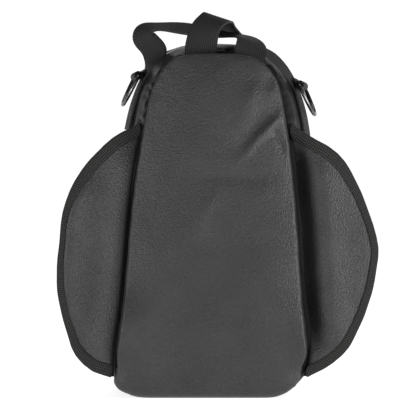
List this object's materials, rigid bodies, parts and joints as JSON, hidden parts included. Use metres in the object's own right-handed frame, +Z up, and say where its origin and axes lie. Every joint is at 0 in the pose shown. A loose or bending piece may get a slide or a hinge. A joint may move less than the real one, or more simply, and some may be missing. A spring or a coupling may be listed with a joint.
{
  "type": "motorcycle tank bag",
  "caption": "Soft motorcycle tank bag with a padded underside, bound side wings, a domed zipped lid, crossing webbing carry straps and swinging D rings.",
  "frame": {"origin": "middle of the flat tail face that the bag stands on", "axes": "+Z up from tail to nose, +X to the right of the underside, +Y away from the underside"},
  "size_m": [0.3214, 0.1505, 0.3908],
  "materials": {
    "cloth": "charcoal coated cloth with a fine pebbled weave",
    "binding_tape": "black ribbed binding tape",
    "webbing": "black ribbed webbing",
    "zip_coil": "black coil zip",
    "ring_steel": "gloss black plated wire"
  },
  "bodies": {
    "bag": {"base_panel": "cloth", "gusset": "cloth", "lid": "cloth", "zip": "zip_coil", "wing_left": "cloth", "wing_binding_left": "binding_tape", "wing_right": "cloth", "wing_binding_right": "binding_tape", "carry_strap_left": "webbing", "ring_tab_left": "webbing", "carry_strap_right": "webbing", "ring_tab_right": "webbing"},
    "ring_left": {"d_ring_left": "ring_steel"},
    "ring_right": {"d_ring_right": "ring_steel"}
  },
  "joints": [
    {"name": "d_ring_left_swing", "type": "hinge", "parent": "bag", "child": "ring_left", "pos_m": [-0.07745, 0.0038, 0.32622], "axis": [-0.1606, 0.987, 0.0077], "range_deg": [-8, 145]},
    {"name": "d_ring_right_swing", "type": "hinge", "parent": "bag", "child": "ring_right", "pos_m": [0.09235, 0.00356, 0.31653], "axis": [-0.1903, -0.9817, 0.0063], "range_deg": [-9, 160]}
  ]
}
